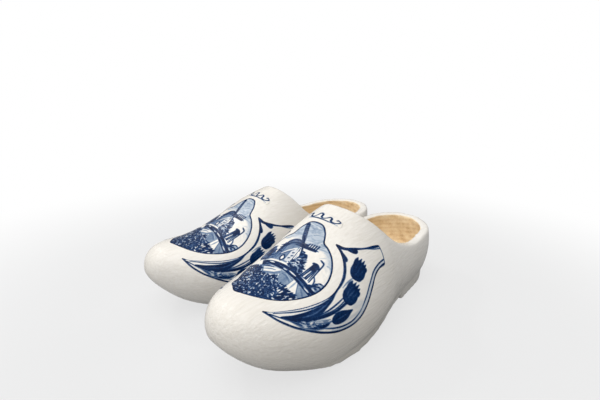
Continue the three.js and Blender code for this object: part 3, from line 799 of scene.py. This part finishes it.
def leaves(sheet, rng):
    sheet.patch([(84, 96), (88, 88), (88.6, 74), (86, 60), (83, 62), (87, 74), (85.6, 86)], 0.2, soft=2)
    sheet.patch([(78.5, 96), (81, 99), (84, 94), (82, 86), (79.6, 88)], 0.14, soft=2)
    sheet.patch([(64, 36), (72, 41), (80, 48), (85, 56), (84, 64), (79, 62), (76, 52)], 0.26, soft=2)
    blade = [(62, 85), (66, 80), (70, 74.6), (73.4, 67), (75.8, 60), (76.4, 52), (74.4, 45.4),
             (69.4, 39.4), (61, 34), (65, 41.6), (67.6, 49.6), (69, 57.6), (69.4, 66), (67.4, 75)]
    sheet.patch(blade, 0.97)
    sheet.stroke([(68, 76, 0.2), (71.4, 65, 1), (72.4, 54, 1), (68.6, 42, 0.2)], 0.8, 0.72)
    sheet.stroke([(82.8, 66.4, 0.2), (84, 61, 1), (82.6, 53, 1), (78.4, 45.6, 1), (70, 39, 0.3)], 2.0, 0.93)
    sheet.stroke([(81.6, 66, 0.4), (80, 58, 1), (77, 50, 0.6)], 1.6, 0.5)
    sheet.stroke([(86, 58, 0.2), (82.6, 50, 1), (77, 43.2, 1), (66, 36.4, 0.3)], 1.0, 0.55)
    tuft = [(73, 42), (79, 46.5), (83, 54), (81.6, 60), (77.6, 52)]
    sheet.dabs(rng, tuft, 34, (3.4, 1.1), 62, (0.93, 0.75, 0.3, 0.1))


def stems(sheet):
    sheet.stroke([(61.5, 98.6, 0.8), (62.4, 93, 1), (64.6, 87, 0.5)], 1.1, 0.5)
    sheet.stroke([(71.4, 84, 0.7), (73.4, 77, 1), (75, 69, 1), (75.6, 61, 0.6)], 1.0, 0.93)
    sheet.stroke([(73.8, 83.6, 0.8), (76, 76, 0.7), (76.8, 68, 0.7), (76, 58, 0.7)], 1.0, 0.95)
    sheet.stroke([(76, 83.4, 1), (77.8, 75, 0.9), (78.2, 66, 1), (76.4, 54, 0.9)], 1.7, 0.97)
    sheet.stroke([(83.6, 67.4, 0.8), (82.2, 61, 1), (79, 53, 0.5)], 1.0, 0.6)


def bud(sheet):
    sheet.patch([(82.4, 87), (80.8, 82), (79.2, 76.6), (79.4, 71.6), (81.4, 67.8), (84.4, 66.6), (87, 69.4),
                 (87.8, 75), (86.6, 80.4), (84, 84.6)], 0.95)
    sheet.stroke([(83, 82, 0.2), (83.6, 76, 1), (84, 70.5, 0.2)], 0.8, 0.72)


def corner_drops(sheet):
    sheet.patch([(39.6, 109.6), (43.4, 111), (46, 113.4), (45.2, 116.4), (42.4, 116), (40.4, 113)], 0.98)
    sheet.patch([(38.4, 105), (42, 105.2), (46.4, 104.4), (47.6, 102.2), (44.4, 101.2), (40, 102.4)], 0.98)


frame_bands(panel)
outer_lines(panel)
leaves(panel, brush)
stems(panel)
tulip(panel, (61.4, 98.8), (55.4, 115.6), 10.6)
tulip(panel, (74.2, 83), (69.2, 99.6), 10.2)
bud(panel)
corner_drops(panel)

for side in ("left", "right"):
    for place in ("outer_tulip", "inner_tulip"):
        right_hand = (side == "left") == (place == "outer_tulip")
        transfer(side, place, panel, panel_edge, 1 if right_hand else -1)

# --- The scrolls ---
# Behind each picture, a plain flourish from a pen, printed in the same blue on a small strip of film of
# its own and slid on in the same way.
scroll_edge = [(-19, 119.4), (-10, 118.4), (0, 118.3), (10, 118.4), (19, 119.4), (20, 122), (18, 125),
               (10, 126.3), (0, 126.4), (-10, 126.3), (-18, 125), (-20, 122)]
strip = Sheet(-22, 22, 116, 129)


def flourish(sheet):
    """A pen line that curls up at both ends over a row of shrinking waves, and a swash below it."""
    waves = [(-17, 123.6, 0.3), (-15, 125.4, 0.8), (-12, 124.6, 1), (-12, 121.4, 1), (-9, 120.4, 0.7),
             (-6, 122.4, 0.6), (-4, 125, 0.8), (-1.4, 124.4, 1), (-1.2, 121.4, 1), (1.2, 120.4, 0.7),
             (4, 122, 0.6), (6.4, 124.2, 0.8), (8.4, 123.2, 1), (8.6, 121.2, 1), (11, 120.4, 0.7),
             (14.4, 121.6, 0.6), (16.4, 124.4, 0.8), (14.6, 125.6, 0.9), (13, 124.2, 0.6)]
    sheet.stroke(waves, 1.5, 1.0)
    sheet.stroke([(-15, 119.8, 0.2), (-6, 119.2, 1), (6, 119.2, 0.8), (17, 120.2, 0.2)], 1.0, 1.0)


flourish(strip)
for side in ("left", "right"):
    transfer(side, "scroll", strip, scroll_edge, 1)

# --- The floor and the light ---
# A pale paper floor under a glowing white veil, a painted brightness that hides its far parts and most of
# the paper, shadows included, at the clogs; a plain white backdrop; and a soft room with two lamps. The
# veil and the backdrop are there for the camera only, and light nothing.
FLOOR_SIZE = 24
FLOOR_BELOW = 0.0004
PAPER = [(0.3, (0.37, 0.375, 0.385)), (0.7, (0.40, 0.405, 0.415))]
PAPER_ROUGHNESS = 0.8
PAPER_MOTTLE = 6
VEIL_BELOW = 0.0002
VEIL_NEAR, VEIL_FAR = 0.20, 0.62       # where the veil starts to thicken, and where it hides the paper
THIN_VEIL = 0.7                        # how much of the paper the veil hides at the clogs
BACKDROP_RADIUS = 9


def for_the_camera(stage_piece):
    """Keeps a piece of the stage from lighting or shading the clogs."""
    stage_piece.visible_diffuse = False
    stage_piece.visible_glossy = False
    stage_piece.visible_transmission = False
    stage_piece.visible_shadow = False


bpy.ops.mesh.primitive_plane_add(size=FLOOR_SIZE, location=(0, 0, -FLOOR_BELOW))
floor = bpy.context.active_object
floor.name = "floor"
paper = Finish("pale_paper")
where = paper.add("ShaderNodeTexCoord").outputs["Object"]
mottle = paper.noise(where, PAPER_MOTTLE)
paper.links.new(paper.tones(mottle, PAPER), paper.shader.inputs["Base Color"])
paper.shader.inputs["Roughness"].default_value = PAPER_ROUGHNESS
paper.put_on(floor)

bpy.ops.mesh.primitive_plane_add(size=FLOOR_SIZE, location=(0, 0, -VEIL_BELOW))
veil = bpy.context.active_object
veil.name = "veil"
veil_glow = Finish("white_veil_glow")
spot = veil_glow.add("ShaderNodeTexCoord").outputs["Object"]
away = veil_glow.add("ShaderNodeVectorMath", {0: spot}, operation="LENGTH").outputs["Value"]
thickening = {"Value": away, "From Min": VEIL_NEAR, "From Max": VEIL_FAR, "To Min": THIN_VEIL}
share = veil_glow.add("ShaderNodeMapRange", thickening, interpolation_type="SMOOTHSTEP").outputs["Result"]
# The veil glows white though it is no lamp: painted brightness over the paper and the shadows on it,
# thinner at the clogs.
clear = veil_glow.add("ShaderNodeBsdfTransparent").outputs[0]
white = veil_glow.add("ShaderNodeEmission", {"Color": (1, 1, 1, 1), "Strength": 1.0}).outputs[0]
veil_glow.links.new(veil_glow.add("ShaderNodeMixShader", {0: share, 1: clear, 2: white}).outputs[0],
                veil_glow.nodes["Material Output"].inputs["Surface"])
veil_glow.put_on(veil)
for_the_camera(veil)

bpy.ops.mesh.primitive_uv_sphere_add(segments=48, ring_count=24, radius=BACKDROP_RADIUS)
backdrop = bpy.context.active_object
backdrop.name = "backdrop"
cloth = Finish("white_backdrop")
cloth.links.new(cloth.add("ShaderNodeEmission", {"Color": (1, 1, 1, 1), "Strength": 1.0}).outputs[0],
                cloth.nodes["Material Output"].inputs["Surface"])
cloth.put_on(backdrop)
for_the_camera(backdrop)

BRIGHT_WALL = Vector((-0.10, -0.38, 0.92)).normalized()
BRIGHT_FROM, BRIGHT_TO = 0.0, 0.95
LAMP_AIM = Vector((0, 0, 0.05))
ROOM_DIM, ROOM_BRIGHT = 0.10, 1.08
ROOM_COLOUR = (1, 0.99, 0.965, 1)
world = bpy.data.worlds.new("room")
bpy.context.scene.world = world
world.use_nodes = True
room = world.node_tree
facing = room.nodes.new("ShaderNodeVectorMath")
facing.operation = "DOT_PRODUCT"
facing.inputs[1].default_value = BRIGHT_WALL
room.links.new(room.nodes.new("ShaderNodeTexCoord").outputs["Generated"], facing.inputs[0])
glow = room.nodes.new("ShaderNodeMapRange")
glow.inputs["From Min"].default_value = BRIGHT_FROM
glow.inputs["From Max"].default_value = BRIGHT_TO
glow.inputs["To Min"].default_value = ROOM_DIM
glow.inputs["To Max"].default_value = ROOM_BRIGHT
room.links.new(facing.outputs["Value"], glow.inputs["Value"])
room.links.new(glow.outputs["Result"], room.nodes["Background"].inputs["Strength"])
room.nodes["Background"].inputs["Color"].default_value = ROOM_COLOUR
bpy.context.scene.view_settings.view_transform = "Standard"


def lamp(name, place, size, power):
    """A flat lamp that faces the pair."""
    data = bpy.data.lights.new(name, "AREA")
    data.shape = "RECTANGLE"
    data.size, data.size_y = size
    data.energy = power
    light = bpy.data.objects.new(name, data)
    light.location = place
    light.rotation_euler = (LAMP_AIM - Vector(place)).to_track_quat("-Z", "Y").to_euler()
    bpy.context.scene.collection.objects.link(light)


lamp("window", place=(-1.28, -0.32, 1.36), size=(0.26, 0.2), power=6.5)
lamp("softbox", place=(0.35, -0.8, 2.3), size=(1.8, 1.8), power=24)

# --- The camera ---
# It stands low in front of the pair, on the left clog's outer side and close by, and is turned and
# rolled a little off its aim.
CAMERA_AIM = Vector((0, 0, 0.040))
CAMERA_DISTANCE = 0.37047
CAMERA_AZIMUTH = 45.59
CAMERA_ELEVATION = 25.23
CAMERA_PAN = 0.97
CAMERA_TILT = 9.16
CAMERA_ROLL = 1.21
LENS = 19.93

azimuth = math.radians(CAMERA_AZIMUTH)
elevation = math.radians(CAMERA_ELEVATION)
back = Vector((math.sin(azimuth) * math.cos(elevation), -math.cos(azimuth) * math.cos(elevation),
               math.sin(elevation)))
across = Vector((math.cos(azimuth), math.sin(azimuth), 0))
aimed = Matrix((across, back.cross(across), back)).transposed()
pan = Matrix.Rotation(math.radians(CAMERA_PAN), 3, "Y")
tilt = Matrix.Rotation(math.radians(CAMERA_TILT), 3, "X")
roll = Matrix.Rotation(math.radians(CAMERA_ROLL), 3, "Z")
lens = bpy.data.cameras.new("camera")
lens.lens = LENS
camera = bpy.data.objects.new("camera", lens)
turned = (aimed @ pan @ tilt @ roll).to_4x4()
camera.matrix_world = Matrix.Translation(CAMERA_AIM + back * CAMERA_DISTANCE) @ turned
bpy.context.scene.collection.objects.link(camera)
bpy.context.scene.camera = camera
